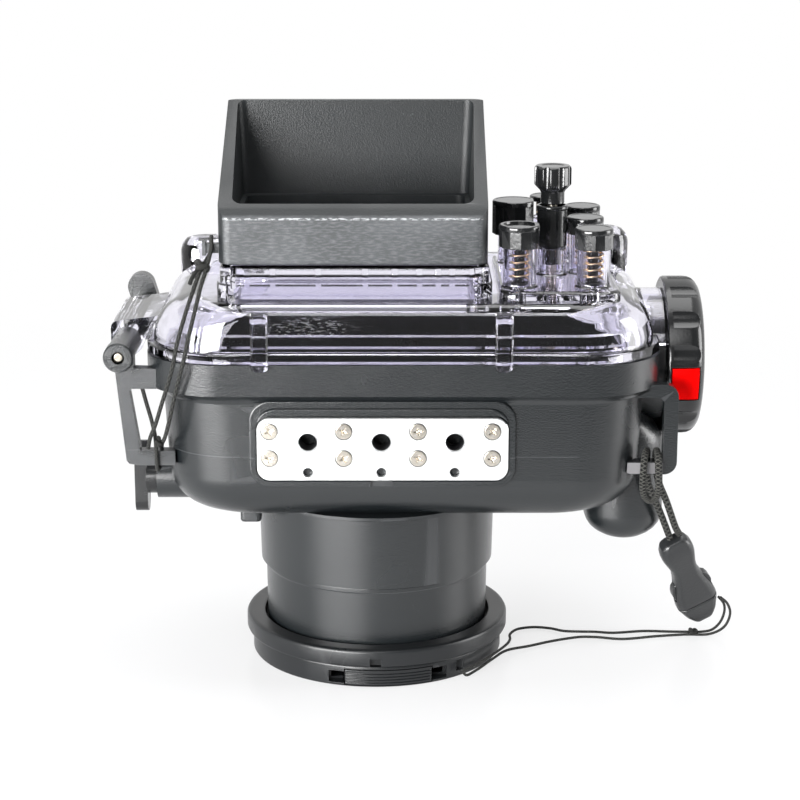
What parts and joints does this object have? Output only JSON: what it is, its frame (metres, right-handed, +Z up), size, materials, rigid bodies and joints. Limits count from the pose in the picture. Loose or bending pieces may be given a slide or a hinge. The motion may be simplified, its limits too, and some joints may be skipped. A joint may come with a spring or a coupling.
{
  "type": "underwater camera housing",
  "caption": "Underwater housing for a compact camera: black shell with a capped lens port, clear hinged back with sprung buttons, turn-knob lock, screen hood and lanyards.",
  "frame": {"origin": "centre of the port cap's flat outer face, on which the housing stands", "axes": "+X to the right of the picture, +Y away from the viewer and towards the top of the camera, +Z up, from the lens port to the clear back"},
  "size_m": [0.1853, 0.1009, 0.1618],
  "materials": {
    "black_plastic": "fine satin black moulding",
    "satin_plastic": "smooth black, semi-gloss",
    "hood_plastic": "matte grey-black",
    "clear_plastic": "clear polycarbonate with a faint violet tint",
    "port_glass": "flat optical glass",
    "aluminium": "fine bead-blasted",
    "steel": "stainless, bright",
    "spring_steel": "bronze-toned spring wire",
    "red_plastic": "glossy red",
    "seal_rubber": "black silicone",
    "pad_rubber": "matte black rubber",
    "cord_fibre": "black braided cord"
  },
  "bodies": {
    "shell": {"front_shell": "black_plastic", "port_barrel": "black_plastic", "port_ring": "satin_plastic", "port_glass": "port_glass", "port_seal": "seal_rubber", "main_seal": "seal_rubber", "tripod_plate": "aluminium", "plate_screw_1": "steel", "plate_screw_2": "steel", "plate_screw_3": "steel", "plate_screw_4": "steel", "plate_screw_5": "steel", "plate_screw_6": "steel", "plate_screw_7": "steel", "plate_screw_8": "steel", "hinge_pin": "steel", "left_strap_bracket": "black_plastic", "right_strap_loop": "black_plastic", "lock_spindle": "steel", "camera_pad_left": "pad_rubber", "camera_pad_right": "pad_rubber", "hood_lanyard": "cord_fibre", "wrist_cord": "cord_fibre", "cap_lanyard": "cord_fibre", "buckle_body": "black_plastic", "buckle_clip": "black_plastic"},
    "cover": {"rear_cover": "clear_plastic", "lcd_hood": "hood_plastic", "dial_sleeve": "satin_plastic", "menu_button_seal": "seal_rubber", "playback_button_seal": "seal_rubber", "display_button_seal": "seal_rubber", "movie_button_seal": "seal_rubber", "function_button_seal": "seal_rubber", "exposure_button_seal": "seal_rubber", "menu_button_spring": "spring_steel", "playback_button_spring": "spring_steel", "display_button_spring": "spring_steel", "movie_button_spring": "spring_steel", "function_button_spring": "spring_steel", "exposure_button_spring": "spring_steel"},
    "lock": {"lock_cam": "satin_plastic", "lock_knob": "satin_plastic"},
    "lock_release": {"lock_release": "red_plastic"},
    "zoom": {"zoom_knob": "black_plastic", "zoom_shaft": "steel", "zoom_gear": "black_plastic"},
    "port_cap": {"port_cap": "satin_plastic"},
    "port_cap_tab": {"port_cap_tab": "satin_plastic"},
    "shutter": {"shutter_button": "satin_plastic"},
    "mode": {"mode_knob": "satin_plastic"},
    "dial_stem": {"dial_stem": "steel"},
    "dial": {"dial_knob": "satin_plastic"},
    "menu_button": {"menu_button": "satin_plastic"},
    "playback_button": {"playback_button": "satin_plastic"},
    "display_button": {"display_button": "satin_plastic"},
    "movie_button": {"movie_button": "satin_plastic"},
    "function_button": {"function_button": "satin_plastic"},
    "exposure_button": {"exposure_button": "satin_plastic"}
  },
  "joints": [
    {"name": "cover_hinge", "type": "hinge", "parent": "shell", "child": "cover", "pos_m": [-0.0714, 0, 0.0965], "axis": [0, -1, 0], "range_deg": [0, 110], "deforming": ["hood_lanyard"]},
    {"name": "lock_turn", "type": "hinge", "parent": "shell", "child": "lock", "pos_m": [0.085, 0, 0.0897], "axis": [1, 0, 0], "range_deg": [0, 90]},
    {"name": "lock_release_press", "type": "slide", "parent": "lock", "child": "lock_release", "axis": [0, 1, 0], "range_m": [0, 0.0015], "stiffness_N_per_m": 400},
    {"name": "zoom_turn", "type": "hinge", "parent": "shell", "child": "zoom", "pos_m": [-0.066, -0.012, 0.0563], "axis": [1, 0, 0], "continuous": true},
    {"name": "port_cap_pull", "type": "slide", "parent": "shell", "child": "port_cap", "axis": [0, 0, -1], "range_m": [0, 0.01], "deforming": ["cap_lanyard"]},
    {"name": "port_cap_tab_press", "type": "slide", "parent": "port_cap", "child": "port_cap_tab", "axis": [-0.1045, 0.9945, 0], "range_m": [0, 0.0012], "stiffness_N_per_m": 500},
    {"name": "shutter_press", "type": "slide", "parent": "shell", "child": "shutter", "axis": [0, -1, 0], "range_m": [0, 0.0025], "stiffness_N_per_m": 400},
    {"name": "mode_turn", "type": "hinge", "parent": "shell", "child": "mode", "pos_m": [0.038, 0.048, 0.076], "axis": [0, 1, 0], "continuous": true},
    {"name": "menu_button_press", "type": "slide", "parent": "cover", "child": "menu_button", "axis": [0, 0, -1], "range_m": [0, 0.0025], "stiffness_N_per_m": 300, "deforming": ["menu_button_spring"]},
    {"name": "playback_button_press", "type": "slide", "parent": "cover", "child": "playback_button", "axis": [0, 0, -1], "range_m": [0, 0.0025], "stiffness_N_per_m": 300, "deforming": ["playback_button_spring"]},
    {"name": "display_button_press", "type": "slide", "parent": "cover", "child": "display_button", "axis": [0, 0, -1], "range_m": [0, 0.0025], "stiffness_N_per_m": 300, "deforming": ["display_button_spring"]},
    {"name": "movie_button_press", "type": "slide", "parent": "cover", "child": "movie_button", "axis": [0, 0, -1], "range_m": [0, 0.0025], "stiffness_N_per_m": 300, "deforming": ["movie_button_spring"]},
    {"name": "function_button_press", "type": "slide", "parent": "cover", "child": "function_button", "axis": [0, 0, -1], "range_m": [0, 0.0025], "stiffness_N_per_m": 300, "deforming": ["function_button_spring"]},
    {"name": "exposure_button_press", "type": "slide", "parent": "cover", "child": "exposure_button", "axis": [0, 0, -1], "range_m": [0, 0.0025], "stiffness_N_per_m": 300, "deforming": ["exposure_button_spring"]},
    {"name": "dial_push", "type": "slide", "parent": "cover", "child": "dial_stem", "axis": [0, 0, -1], "range_m": [0, 0.003]},
    {"name": "dial_turn", "type": "hinge", "parent": "dial_stem", "child": "dial", "pos_m": [0.0505, -0.006, 0.143], "axis": [0, 0, 1], "continuous": true}
  ]
}
